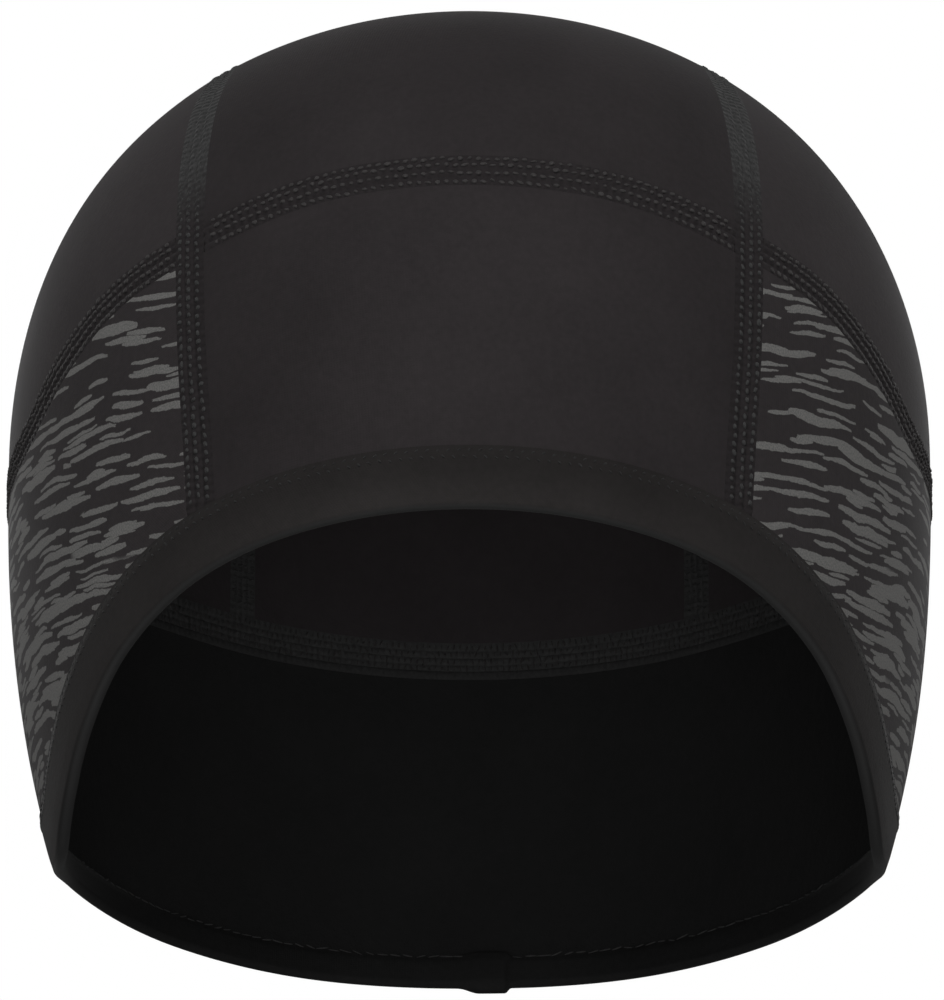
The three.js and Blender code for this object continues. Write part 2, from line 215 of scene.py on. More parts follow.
def crossing(line, other):
    """Where two chart lines cross first, as a place along the first line: each pair of segments is solved
    for the shares of both at which they meet."""
    a, u = line[:-1, None], np.diff(line, axis=0)[:, None]
    b, v = other[None, :-1], np.diff(other, axis=0)[None]
    cross = u[..., 0] * v[..., 1] - u[..., 1] * v[..., 0]
    cross = np.where(np.abs(cross) > 1e-15, cross, 1e-15)
    d = b - a
    s = (d[..., 0] * v[..., 1] - d[..., 1] * v[..., 0]) / cross
    t = (d[..., 0] * u[..., 1] - d[..., 1] * u[..., 0]) / cross
    hit = np.argwhere((s >= 0) & (s < 1) & (t >= 0) & (t < 1))
    i, j = hit[0]
    return i + s[i, j]


def point_at(line, place):
    """Points at fractional places along a line, whole numbers being its own points."""
    i = np.clip(np.floor(place).astype(int), 0, len(line) - 2)
    t = (place - i)[:, None]
    return line[i] * (1 - t) + line[i + 1] * t


def run(points, axis=0):
    """Length travelled along an axis of a grid of points, from 0 at its first points."""
    steps = np.linalg.norm(np.diff(points, axis=axis), axis=-1)
    start = np.zeros_like(np.take(steps, [0], axis=axis))
    return np.cumsum(np.concatenate([start, steps], axis=axis), axis=axis)


def between(line, start_line, end_line):
    """The stretch of a line between the two lines that cross it, finely divided."""
    places = np.linspace(crossing(line, start_line), crossing(line, end_line), 4 * line_steps)
    return point_at(line, places)


def spaced(line, shares):
    """Points at shares of a line's length on the face."""
    length = run(on_face(line))
    place = np.interp(np.asarray(shares) * length[-1], length, np.arange(len(line)))
    return point_at(line, place)


def fine_ends(length, step):
    """Shares of a length at even steps, with the closer rows of edge_rows at both ends."""
    inner_length = length - 2 * edge_rows[-1]
    count = max(2, round(inner_length / step))
    inner = np.linspace(edge_rows[-1], length - edge_rows[-1], count + 1)
    return np.concatenate([edge_rows[:-1], inner, length - edge_rows[-2::-1]]) / length


def fill(bottom, top, left, right, u, v):
    """Chart points between four lines: the two ruled surfaces across, less the one through the corners."""
    u = u[None, :, None]
    v = v[:, None, None]
    across = (1 - v) * bottom[None] + v * top[None] + (1 - u) * left[:, None] + u * right[:, None]
    lower = (1 - u) * bottom[0] + u * bottom[-1]
    upper = (1 - u) * top[0] + u * top[-1]
    return across - (1 - v) * lower - v * upper


def patch(bottom, top, left, right):
    """Rows of chart points between four lines that cross at its corners, with closer rows beside each."""
    bottom, top, left, right = (
        between(bottom, left, right),
        between(top, left, right),
        between(left, bottom, top),
        between(right, bottom, top),
    )
    u = fine_ends(run(on_face(bottom))[-1], cloth_step)
    v = fine_ends(max(run(on_face(left))[-1], run(on_face(right))[-1]), cloth_step)
    return fill(spaced(bottom, u), spaced(top, u), spaced(left, v), spaced(right, v), u, v)


# Lines of the pattern on the chart
def line_round(first, last, level):
    """A line round the cap between two azimuths in degrees, at the height that level gives each azimuth."""
    azimuth = np.linspace(first, last, round((last - first) / 360 * line_steps) + 1)
    turn = np.radians(azimuth)
    target = level(np.abs((azimuth + 180) % 360 - 180))
    reach = solve(
        lambda r: dome(r * np.sin(turn), -r * np.cos(turn))[..., 2] > target, 0, chart_rim, turn.shape
    )
    return np.stack([reach * np.sin(turn), -reach * np.cos(turn)], axis=-1)


def edge_level(away):
    """Height of the edge: the nape's, raised by the share of the brow and lowered by that of the ears."""
    rise = (nape_depth - brow_depth) * read_table(levels, "azimuth", "brow", away)
    dip = (ear_depth - nape_depth) * read_table(levels, "azimuth", "ear", away)
    return rise - dip - nape_depth


def seam_level(away):
    """Height of the seam round the cap, in the same way."""
    rise = (arch_height - nape_seam_height) * read_table(levels, "azimuth", "arch", away)
    dip = (nape_seam_height - ear_seam_height) * read_table(levels, "azimuth", "dip", away)
    return rise - dip + nape_seam_height


def long_line():
    """The middle of the wearer's left long seam, from the brow over the top to the nape."""
    q = np.linspace(-chart_rim, spreads["along"][-1], line_steps + 1)
    target = seam_spacing * read_table(spreads, "along", "spread", q)
    p = solve(lambda p: dome(p, q)[..., 0] < target, 0, 1, q.shape)
    return np.stack([p, q], axis=-1)


def mirrored(line):
    return line * [-1, 1]


def behind(line):
    """The part of a line round the cap in the nape half, from the wearer's right to the left."""
    return line[line[:, 1] > 0][::-1]


sewn_overlap = 0.03  # how far a sewn edge and its seam run into each other
channel = binding_wall + gap
half_seam = seam_width / 2
set_back = half_seam - sewn_overlap

brow_edge = line_round(-90, 90, edge_level)
whole_edge = line_round(0, 360, edge_level)
cloth_brow_edge = shifted(brow_edge, channel)
cloth_edge = shifted(whole_edge, channel, closed=True)
arch = line_round(-90, 90, seam_level)
ring = line_round(0, 360, seam_level)
above_ring = shifted(ring, set_back, closed=True)
nape_top = behind(above_ring)
long_seam = long_line()
inner_long = shifted(long_seam, set_back)
outer_long = shifted(long_seam, -set_back)
front_outer = outer_long[outer_long[:, 1] < 0]


def front_chart():
    return patch(cloth_brow_edge, shifted(arch, -set_back), mirrored(inner_long), inner_long)


def crown_chart():
    return patch(shifted(arch, set_back), nape_top, mirrored(inner_long), inner_long)


def lower_chart():
    return patch(cloth_edge, shifted(ring, -set_back, closed=True), front_outer, mirrored(front_outer))


def side_chart():
    """The crescent beside a long seam: both of its ends are a single point."""
    bottom = above_ring[above_ring[:, 0] > 0]
    lower = between(bottom, front_outer, outer_long[outer_long[:, 1] > 0])
    upper = between(outer_long, bottom[bottom[:, 1] < 0], bottom[bottom[:, 1] > 0])
    u = fine_ends(run(on_face(lower))[-1], cloth_step)
    v = fine_ends(crown_height, cloth_step)
    lower, upper = spaced(lower, u), spaced(upper, u)
    pinch = [np.repeat(end[None], len(v), axis=0) for end in (lower[0], lower[-1])]
    return fill(lower, upper, *pinch, u, v)


def mirrored_rows(chart):
    """The same surface on the other side, its rows reversed so that it still faces outwards."""
    return mirrored(chart)[::-1]


# Meshes
rim_crease = 50  # degrees
same_place = 2e-7  # metres between corners that are joined
no_length = 1e-8  # metres below which an edge counts as none


def grid_quads(index):
    """The quads between the neighbours in a grid of point numbers."""
    quads = np.stack([index[:-1, :-1], index[:-1, 1:], index[1:, 1:], index[1:, :-1]], axis=-1)
    return quads.reshape(-1, 4)


def shell_quads(rows, columns, wrap=False):
    """Point numbers of the quads of a shell: an outer grid, an inner grid after it that faces the other way,
    and the rims between their edges. A wrapped shell joins its last column to its first."""
    outer = np.arange(rows * columns).reshape(rows, columns)
    if wrap:
        outer = np.concatenate([outer, outer[:, :1]], axis=1)
    inner = outer + rows * columns
    rims = [(inner[0], outer[0]), (outer[-1], inner[-1])]
    if not wrap:
        rims += [(outer[:, 0], inner[:, 0]), (inner[:, -1], outer[:, -1])]
    turned_over = grid_quads(inner)[:, [0, 3, 2, 1]]
    return [grid_quads(outer), turned_over, *(grid_quads(np.stack(rim)) for rim in rims)]


def make_mesh(name, points, faces, finishes, kinds=None, maps=None, crease=None):
    """A smooth object at the origin. points are in millimetres, with height 0 at the widest level, and faces
    is a list of arrays whose rows hold the point numbers of a face. kinds gives each face one of the
    finishes, and a map gives each point two numbers. The shading breaks where faces turn by more than
    crease, in degrees."""
    mesh = bpy.data.meshes.new(name)
    points = (points + [0, 0, cloth_wall - crown_height]) * MM
    corners = np.concatenate([part.ravel() for part in faces])
    sides = np.concatenate([np.full(len(part), part.shape[1]) for part in faces])
    mesh.vertices.add(len(points))
    mesh.vertices.foreach_set("co", points.ravel())
    mesh.loops.add(len(corners))
    mesh.loops.foreach_set("vertex_index", corners)
    mesh.polygons.add(len(sides))
    mesh.polygons.foreach_set("loop_start", np.cumsum(sides) - sides)
    for finish in finishes:
        mesh.materials.append(finish)
    if kinds is not None:
        mesh.polygons.foreach_set("material_index", kinds)
    for title, values in (maps or {}).items():
        mesh.uv_layers.new(name=title).uv.foreach_set("vector", values[corners].ravel())
    mesh.update(calc_edges=True)
    mesh.validate()
    mesh.shade_smooth()
    if crease is not None:
        mesh.set_sharp_from_angle(angle=math.radians(crease))
    piece = bpy.data.objects.new(name, mesh)
    bpy.context.scene.collection.objects.link(piece)
    return piece


def merge_corners(piece):
    """Joins corners that lie on each other, where a surface ends in a point, and drops faces without area."""
    mesh = bmesh.new()
    mesh.from_mesh(piece.data)
    bmesh.ops.remove_doubles(mesh, verts=mesh.verts, dist=same_place)
    bmesh.ops.dissolve_degenerate(mesh, edges=mesh.edges, dist=no_length)
    mesh.to_mesh(piece.data)
    mesh.free()
    return piece


def shell(name, outer, inner, finishes, maps, wrap=False):
    """A closed wall with sharp rims between two grids of points, its outer side and rims in the first finish
    and its inner side in the second."""
    rows, columns = outer.shape[:2]
    parts = shell_quads(rows, columns, wrap)
    kinds = np.concatenate([np.full(len(part), int(k == 1)) for k, part in enumerate(parts)])
    points = np.concatenate([outer.reshape(-1, 3), inner.reshape(-1, 3)])
    both = {title: np.tile(values.reshape(-1, 2), (2, 1)) for title, values in maps.items()}
    return make_mesh(name, points, parts, finishes, kinds, both, rim_crease)


# Cloth panels
edge_round = 0.06  # radius at which a panel's edge rolls down to its seam
wave_size = 0.12  # height of the slow waves in stretched cloth
wave_start = 12  # distance from a panel's edge over which the waves rise
waves = {
    "x": [0.031, -0.052, 0.087, 0.018, -0.11],
    "y": [0.044, 0.029, -0.051, 0.078, 0.064],
    "z": [0.057, -0.064, 0.023, -0.091, 0.038],
    "phase": [0.3, 1.9, 4.1, 2.6, 5.2],
}


def slow_waves(points):
    """The mean of a few sines of place, each along its own direction: gentle unevenness of worn cloth."""
    directions = np.stack([waves[axis] for axis in "xyz"])
    return np.sin(points @ directions + np.array(waves["phase"])).mean(axis=-1)


def roll(distance):
    """How far a rolled edge lies below the face: a quarter circle of edge_round."""
    inside = np.clip(edge_round - distance, 0, edge_round)
    return edge_round - np.sqrt(edge_round**2 - inside**2)


def edge_distance(points):
    """Distance of each grid point from the grid's nearest edge, measured along its row or column."""
    down = run(points, 0)
    along = run(points, 1)
    sides = [down, down[-1:] - down, along, along[:, -1:] - along]
    return np.minimum.reduce(sides)


def panel(name, chart, finishes):
    """A knitted wall over a chart, its edges rolled down on both sides and its face in slow waves. The map
    named cloth holds millimetres along and up the panel, and the one named girth holds millimetres round the
    cap and above the widest level."""
    points = on_face(chart)
    normal = outward(chart)
    from_edge = edge_distance(points)
    drop = roll(from_edge)
    wave = wave_size * slow_waves(points) * smooth(from_edge / wave_start)
    outer = points + normal * (wave - drop)[..., None]
    inner = points + normal * (wave + drop - cloth_wall)[..., None]
    azimuth = np.unwrap(np.arctan2(points[..., 0], -points[..., 1]), axis=1)
    maps = {
        "cloth": np.stack([run(points, 1), run(points, 0)], axis=-1),
        "girth": np.stack([azimuth * cap_length / 2, points[..., 2]], axis=-1),
    }
    return shell(name, outer, inner, finishes, maps)


# Flat seams
stitch_pitch = 1.5
seam_rise = 0.06  # what the rows of stitches stand above the cloth's face
groove_depth = 0.28
row_reach = 0.85  # from a row to the bottom of the groove beside it
covered_height = -0.2  # of a seam's face under the binding
covered_rise = 0.8  # distance over which it comes up beside the binding
band_points = 37  # across a seam

# Rows of stitches, as distances to the left of a seam's travel
level_rows = (2.35, 1.1, -0.55, -2.35)
long_rows = (1.65, -0.25, -2.1)
inner_rows = (2.1, 0.7, -0.7, -2.1)


def seam_height(across, rows):
    """Cross-section of a flat seam: a parabola falls away from each row of stitches, to a groove between the
    rows and to the cloth's face beside them."""
    nearest = np.abs(across[:, None] - np.array(rows)).min(axis=1)
    beside = (across > max(rows)) | (across < min(rows))
    depth = np.where(beside, seam_rise, groove_depth)
    return seam_rise - depth * np.clip(nearest / row_reach, 0, 1) ** 2


def strip(line, across):
    """A strip along a chart line: rows of chart points at distances across to its left, the distance
    travelled along it, and a map of both."""
    length = run(on_face(line))[-1]
    centre = spaced(line, np.linspace(0, 1, round(length / seam_step) + 1))
    chart = np.stack([shifted(centre, w) for w in across])
    along = run(on_face(centre))
    return chart, along, np.stack(np.broadcast_arrays(along[None, :], across[:, None]), axis=-1)


def seam_band(name, line, rows, finishes, covered=0, mirror=False):
    """The band of a flat seam along a chart line: a ridged section is swept along on both faces of the cloth.
    The first stretch, covered, lies flat under the binding. Its cloth map holds millimetres along and
    across."""
    across = np.linspace(-half_seam - sewn_overlap, half_seam + sewn_overlap, band_points)
    chart, along, flat = strip(line, across)
    sunk = (1 - smooth((along - covered) / covered_rise)) if covered else np.zeros_like(along)
    height = seam_height(across, rows)[:, None] * (1 - sunk) + covered_height * sunk
    under = seam_height(across, inner_rows)[:, None] * (1 - sunk) + covered_height * sunk
    if mirror:
        chart, height, under, flat = mirrored_rows(chart), height[::-1], under[::-1], flat[::-1]
    return shell(name, raised(chart, height), raised(chart, -cloth_wall - under), finishes, {"cloth": flat})


def bead(sides=6, rings=3):
    """A small closed oval with its poles along x: circles of sides corners, whose radius is the sine and
    whose place is the cosine of their angle from the pole. Returns points, quads and the poles' triangles."""
    angle = np.pi * np.arange(1, rings + 1) / (rings + 1)
    turn = 2 * np.pi * np.arange(sides) / sides
    x = np.repeat(-np.cos(angle)[:, None], sides, axis=1)
    y = np.sin(angle)[:, None] * np.cos(turn)
    z = np.sin(angle)[:, None] * np.sin(turn)
    points = np.concatenate([[[-1, 0, 0]], np.stack([x, y, z], axis=-1).reshape(-1, 3), [[1, 0, 0]]])
    index = 1 + np.arange(rings * sides).reshape(rings, sides)
    index = np.concatenate([index, index[:, :1]], axis=1)
    first, last = index[0], index[-1]
    poles = np.repeat([[0], [rings * sides + 1]], sides, axis=1)
    near = np.stack([poles[0], first[1:], first[:-1]], axis=-1)
    far = np.stack([poles[1], last[:-1], last[1:]], axis=-1)
    return points, grid_quads(index), np.concatenate([near, far])


bead_points, bead_quads, bead_tips = bead()
look = 0.2  # distance ahead and back over which a line's direction is taken
stray_turn = 6  # degrees, the usual error of a stitch's angle
stray_size = 0.1  # the same for its sizes, as a share
stray_side = 0.06  # and for its place across the row


def scatter(line, pitch, start, end):
    """Places at an even pitch along a chart line, leaving start and end free: their chart points, the way
    the line runs there, the outward direction and the distances along the line."""
    length = run(on_face(line))[-1]
    count = max(1, int((length - start - end) / pitch))
    middle = (start + length - end) / 2
    places = middle + (np.arange(count) - (count - 1) / 2) * pitch
    chart = spaced(line, places / length)
    ahead = spaced(line, np.clip((places + look) / length, 0, 1))
    before = spaced(line, np.clip((places - look) / length, 0, 1))
    return chart, unit(on_face(ahead) - on_face(before)), outward(chart), places


def threads(
    line, pitch, height, size, turn=0, start=0.1, end=0.1, slip=0, seed=1, inside=False, fade=None, stray=1
):
    """Points of ovals laid along a chart line, one for each stitch. size is the length, width and thickness
    of an oval and turn its angle to the line in degrees. The place, length and turn vary a little, stray
    times as much. fade gives the size of the ovals, as a share, for their distances along the line."""
    chart, along, out, places = scatter(line, pitch, start + slip, end - slip)
    side = np.cross(out, along)
    if inside:
        height = -cloth_wall - height
    vary = stray * np.random.default_rng(seed).normal(size=(len(chart), 4))
    angle = np.radians(turn + stray_turn * vary[:, 0])[:, None]
    ahead = along * np.cos(angle) + side * np.sin(angle)
    beside = -along * np.sin(angle) + side * np.cos(angle)
    scale = np.ones(len(chart)) if fade is None else fade(places)
    half_sizes = (np.array(size)[:, None] / 2) * (1 + stray_size * vary[:, 1:].T) * scale
    centre = on_face(chart) + out * height + side * stray_side * vary[:, 3:]
    reach = (
        way[:, None] * bead_points[None, :, k, None] * half_sizes[k][:, None, None]
        for k, way in enumerate((ahead, beside, out))
    )
    return sum(reach, start=centre[:, None])


def make_threads(name, rows, finish):
    """One object from rows of ovals: the oval's faces are repeated with the point numbers moved on."""
    ovals = np.concatenate(rows)
    offset = np.arange(len(ovals))[:, None, None] * len(bead_points)
    quads = (bead_quads[None] + offset).reshape(-1, 4)
    tips = (bead_tips[None] + offset).reshape(-1, 3)
    return make_mesh(name, ovals.reshape(-1, 3), [quads, tips], [finish])


outer_loop = (1.0, 0.76, 0.5)  # length, width and thickness
inner_loop = (1.15, 0.42, 0.36)
outer_turns = (20, 8, -8, -32)  # degrees, for each row
inner_turn = 90
inner_pitch = stitch_pitch * 0.8
outer_stray = 1.6
inner_stray = 2.2
loop_lift = 0.02
free_end = 0.8  # length without stitches at a seam's ends
inner_seed = 9  # from a seam's first seed to that of its inner rows


def seam_threads(name, line, rows, finish, seed, start=free_end, fade=None, mirror=False):
    """The threads of a flat seam: outside, short loops in rows along it, each second row half a pitch on,
    and inside, loops across each row."""
    height = seam_rise + loop_lift

    def row_line(across):
        return mirrored(shifted(line, across)) if mirror else shifted(line, across)

    outer = [
        threads(
            row_line(across), stitch_pitch, height, outer_loop, turn, start, free_end,
            slip=(k % 2) * stitch_pitch / 2, seed=seed + k, fade=fade, stray=outer_stray,
        )
        for k, (across, turn) in enumerate(zip(rows, outer_turns))
    ]
    inner = [
        threads(
            row_line(across), inner_pitch, height, inner_loop, inner_turn, start, free_end,
            seed=seed + inner_seed + k, inside=True, stray=inner_stray,
        )
        for k, across in enumerate(inner_rows)
    ]
    return make_threads(name, outer + inner, finish)


# Binding
tape_edge = 0.1  # height of the tape's skin above the cloth at its edge
tape_full = 0.5  # in its middle
tape_fold = 0.4  # and at the fold
tape_bend = 2.0  # distance from its edge over which it rises
tape_draw = (3.4, 2.4)  # height above the fold at which it begins to draw in, and over what distance
fold_depth = 1.0
tape_thickness = 0.3  # of the skin that is built
tape_rows = {"outer": 22, "fold": 15, "inner": 16}  # points of the section
crowding = 1.7  # power that crowds the outer and inner points towards the edges


def tape_clearance(up, width):
    """Height of the tape's skin above the cloth: least at its edge, full in the middle, less at the fold."""
    rise = smooth((width - up) / tape_bend)
    draw = smooth((tape_draw[0] - up) / tape_draw[1])
    return tape_edge + (tape_full - tape_edge) * rise - (tape_full - tape_fold) * draw


def tape_section():
    """The tape's section: heights above its lowest point and distances from the cloth's outer face, down the
    outside, round half an ellipse and up the inside, with the direction away from the cloth at each."""
    outer_share = 1 - np.linspace(0, 1, tape_rows["outer"]) ** crowding
    inner_share = 1 - np.linspace(1, 0, tape_rows["inner"]) ** crowding
    outer_up = fold_depth + (binding_outer_width - fold_depth) * outer_share
    inner_up = fold_depth + (binding_inner_width - fold_depth) * inner_share
    turn = np.linspace(0, math.pi, tape_rows["fold"])[1:-1]
    up = np.concatenate([outer_up, fold_depth * (1 - np.sin(turn)), inner_up])
    out = np.concatenate([
        tape_clearance(outer_up, binding_outer_width),
        (cloth_wall / 2 + tape_fold) * np.cos(turn) - cloth_wall / 2,
        -cloth_wall - tape_clearance(inner_up, binding_inner_width),
    ])
    away = unit(np.stack([np.gradient(out), -np.gradient(up)], axis=-1))
    return up, out, away


def tape_points(edge, lift, closed):
    """The tape's skin along an edge line, moved away from the cloth by lift: a row of points for each point
    of the section, the inner edge first."""
    rows = [
        raised(shifted(edge, up + lift * away[0], closed), out + lift * away[1])
        for up, out, away in zip(*tape_section())
    ]
    return np.stack(rows)[::-1]


def tape_piece(name, edge, lift, depth, closed, finish):
    """A length of tape. Its cloth map holds millimetres along it and across it from the inner edge."""
    outer = tape_points(edge, lift, closed)
    inner = tape_points(edge, -depth + 0 * lift, closed)
    if closed:
        outer, inner = outer[:, :-1], inner[:, :-1]
    flat = np.stack([run(outer, 1), run(outer, 0)], axis=-1)
    return shell(name, outer, inner, [finish, finish], {"cloth": flat}, wrap=closed)


# Shader maths
class Value:
    """A number on its way through a node tree: an operator on it adds one Math node."""

    def __init__(self, nodes, socket):
        self.nodes = nodes
        self.socket = socket

    def math(self, operation, *others):
        settings = {"operation": operation}
        return self.nodes.node("ShaderNodeMath", settings, dict(enumerate((self, *others))))

    def beside(self, name):
        """Another output of the same node."""
        return Value(self.nodes, self.socket.node.outputs[name])

    def __add__(self, other):
        return self.math("ADD", other)

    def __sub__(self, other):
        return self.math("SUBTRACT", other)

    def __rsub__(self, other):
        """A number less this value: the value times -1, plus the number."""
        return self.math("MULTIPLY_ADD", -1.0, other)

    def __mul__(self, other):
        return self.math("MULTIPLY", other)

    def __truediv__(self, other):
        return self.math("DIVIDE", other)

    def __pow__(self, other):
        return self.math("POWER", other)

    __radd__ = __add__
    __rmul__ = __mul__


class Nodes:
    """A node tree in the making."""

    def __init__(self, tree):
        self.tree = tree

    def node(self, kind, settings=None, inputs=None, output=0):
        """Adds a node: its settings first, then its sockets' values or links. Returns one output."""
        made = self.tree.nodes.new(kind)
        for name, value in (settings or {}).items():
            setattr(made, name, value)
        for name, value in (inputs or {}).items():
            if isinstance(value, Value):
                self.tree.links.new(value.socket, made.inputs[name])
            else:
                made.inputs[name].default_value = value
        return Value(self, made.outputs[output])


cloth_sheen = 0.11  # what stands out from cloth and catches the light at its outline


class Finish(Nodes):
    """A material in the making."""

    def __init__(self, name, roughness, sheen=cloth_sheen, sheen_roughness=0.28, specular=0.08):
        self.material = bpy.data.materials.new(name)
        self.material.use_nodes = True
        super().__init__(self.material.node_tree)
        self.sockets = self.tree.nodes["Principled BSDF"].inputs
        self.sockets["Roughness"].default_value = roughness
        self.sockets["Sheen Weight"].default_value = sheen
        self.sockets["Sheen Roughness"].default_value = sheen_roughness
        self.sockets["Specular IOR Level"].default_value = specular

    def set(self, socket, value):
        self.tree.links.new(value.socket, self.sockets[socket])

    def place(self):
        return self.node("ShaderNodeTexCoord", output="Object")

    def from_middle(self):
        """Millimetres from the plane that halves the cap, left or right."""
        x = self.node("ShaderNodeSeparateXYZ", {}, {0: self.place()})
        return x.math("ABSOLUTE") * (1 / MM)

    def chart(self, name):
        """The two numbers of one of the piece's own maps."""
        place = self.node("ShaderNodeUVMap", {"uv_map": name})
        first = self.node("ShaderNodeSeparateXYZ", {}, {0: place})
        return first, first.beside("Y")

    def vector(self, x, y=0.0, z=0.0):
        return self.node("ShaderNodeCombineXYZ", {}, {"X": x, "Y": y, "Z": z})

    def noise(self, vector, scale, detail=2.0, rough=0.5):
        sockets = {"Vector": vector, "Scale": scale, "Detail": detail, "Roughness": rough}
        return self.node("ShaderNodeTexNoise", {}, sockets)

    def grain(self, *settings):
        """Noise on the place in metres."""
        return self.noise(self.place(), *settings)

    def blend(self, factor, first, second):
        """The colour that lies factor of the way from the first to the second. A Mix node's sockets for
        colours come after those for numbers and vectors."""
        return self.node("ShaderNodeMix", {"data_type": "RGBA"}, {0: factor, 6: first, 7: second}, output=2)

    def mottle(self, factor, tint, level, spread):
        """A tint whose level varies by a share, spread, either way as factor goes from 0 to 1."""
        return self.blend(factor, shade(tint, level * (1 - spread)), shade(tint, level * (1 + spread)))

    def random(self, *numbers):
        """White noise: one random number for each set of whole numbers."""
        sockets = {"Vector": self.vector(*numbers)}
        return self.node("ShaderNodeTexWhiteNoise", {"noise_dimensions": "3D"}, sockets)

    def ramp(self, value, low, high):
        """0 below low, 1 above high and smooth between."""
        sockets = {"Value": value, "From Min": low, "From Max": high}
        return self.node("ShaderNodeMapRange", {"interpolation_type": "SMOOTHSTEP"}, sockets)

    def done(self, colour, height, strength, depth):
        """The material with its colour and with a height as relief, whose depth is in metres."""
        sockets = {"Height": height, "Strength": strength, "Distance": depth}
        self.set("Base Color", colour)
        self.set("Normal", self.node("ShaderNodeBump", {}, sockets))
        return self.material


def shade(tint, level):
    """A tint, whose green is 1, at a level."""
    return (*(level * part for part in tint), 1)


warm_black = (1.13, 1, 1.04)
brown_black = (1.09, 1, 0.98)
warm_thread = (1.06, 1, 1)
pale_ink = (1.02, 1, 0.95)
neutral = (1, 1, 1)

# Grains of the cloth and threads: scale for each metre, detail and roughness
knit_cloud = (45.0, 3.0)
knit_speck = (900.0, 2.0)
knit_fuzz = (1600.0, 3.0, 0.6)
brushed_tufts = (420.0, 4.0, 0.65)
brushed_cloud = (60.0, 2.0)
seam_fuzz = (1500.0, 3.0)
thread_fluff = (1800.0, 3.0)

# The knit's relief: the pitch of its columns of stitches and of its courses, and the height of each
column_pitch = 0.5
course_pitch = column_pitch * 0.8
column_height = 0.14
course_height = 0.08
fuzz_height = 1.3
cloud_share = 0.6  # of the clouds in a knit's colour, the rest being specks
noise_span = (0.3, 0.7)  # levels between which most of a noise lies


def beat(value, pitch):
    """A sine that comes round once in each pitch."""
    return (value * (2 * math.pi / pitch)).math("SINE")


def knitted(finish, colour):
    """The material as a fine knit: columns of stitches up the panel, crossed by courses and broken up by
    fuzz, whose heights add up."""
    u, v = finish.chart("cloth")
    stitches = beat(u, column_pitch) * column_height + beat(v, course_pitch) * course_height
    height = stitches + finish.grain(*knit_fuzz) * fuzz_height
    return finish.done(colour, height, strength=0.35, depth=0.00012)


def knit_ground(finish, tint, level):
    """The colour of a knit: faint clouds and finer specks about a level."""
    cloud = finish.grain(*knit_cloud)
    speck = finish.grain(*knit_speck)
    mixed = cloud * cloud_share + speck * (1 - cloud_share)
    return finish.mottle(mixed, tint, level, spread=0.42)


painted_shade_reach = (16.0, 42.0)  # distances from the middle between which the cloth darkens to its painted shade level


def cloth_finish(name, level, painted_shade_level=None):
    """Smooth matte knit, which may darken towards the long seams to a second level: painted shade beside the
    seams.
    """
    finish = Finish(name, 0.9)
    ground = knit_ground(finish, warm_black, level)
    if painted_shade_level is not None:
        painted_shade = finish.ramp(finish.from_middle(), *painted_shade_reach)
        ground = finish.blend(painted_shade, ground, knit_ground(finish, warm_black, painted_shade_level))
    return knitted(finish, ground)


# Where the binding changes colour, each change painted light as marked below: distances above its lowest
# line, and shares of half its length from the middle of the brow. Each pair is where a change starts and
# where it is full
# A painted highlight line along the bottom of the fold, over the brow and ears:
highlight_line_inside = (-1.6, -0.6)
highlight_line_outside = (1.5, 0.5)
highlight_line_along = (0.7, 0.5)
# A broader painted highlight, paler towards the fold at the middle of the brow:
broad_highlight_above = (8.5, 1.5)
broad_highlight_along = (0.4, 0.0)
broad_highlight_share = 1.35  # of the binding's level
highlight_line_share = 2.9
painted_fill_share = 0.4  # of half the fold, from where on the tape has its lighter inner level, painted light


def binding_finish(name, level, painted_fill_level):
    """The binding's knit. A painted highlight makes it paler towards the fold at the brow, and round the fold
    and inside it takes a lighter level, painted light that lifts their shade. Over the brow and ears a
    painted highlight runs as a paler line along the fold."""
    finish = Finish(name, 0.85)
    along, across = finish.chart("cloth")
    half_length = run(on_face(whole_edge))[-1] / 2
    from_brow = (along - half_length).math("ABSOLUTE")
    half_fold = math.pi / 4 * (fold_depth + cloth_wall / 2 + tape_fold)
    lowest = binding_inner_width - fold_depth + half_fold

    def above(distances):
        return finish.ramp(across, *(lowest + distance for distance in distances))

    def near_brow(shares):
        return finish.ramp(from_brow, *(half_length * share for share in shares))

    painted_fill = above((half_fold, half_fold * painted_fill_share))
    highlight_line = above(highlight_line_inside) * above(highlight_line_outside) * near_brow(highlight_line_along)
    broad_highlight = above(broad_highlight_above) * near_brow(broad_highlight_along)
    plain = knit_ground(finish, brown_black, level)
    outer = finish.blend(broad_highlight, plain, knit_ground(finish, brown_black, level * broad_highlight_share))
    whole = finish.blend(painted_fill, outer, knit_ground(finish, neutral, painted_fill_level))
    return knitted(finish, finish.blend(highlight_line, whole, shade(neutral, level * highlight_line_share)))


def brushed_finish(name, tint, level):
    """The brushed inside: short fuzz in small tufts."""
    finish = Finish(name, 1.0, sheen=0.03, sheen_roughness=0.6, specular=0.05)
    tufts = finish.grain(*brushed_tufts)
    cloud = finish.grain(*brushed_cloud)
    colour = finish.mottle(tufts * 0.5 + cloud * 0.5, tint, level, spread=0.3)
    return finish.done(colour, tufts, strength=0.6, depth=0.0005)


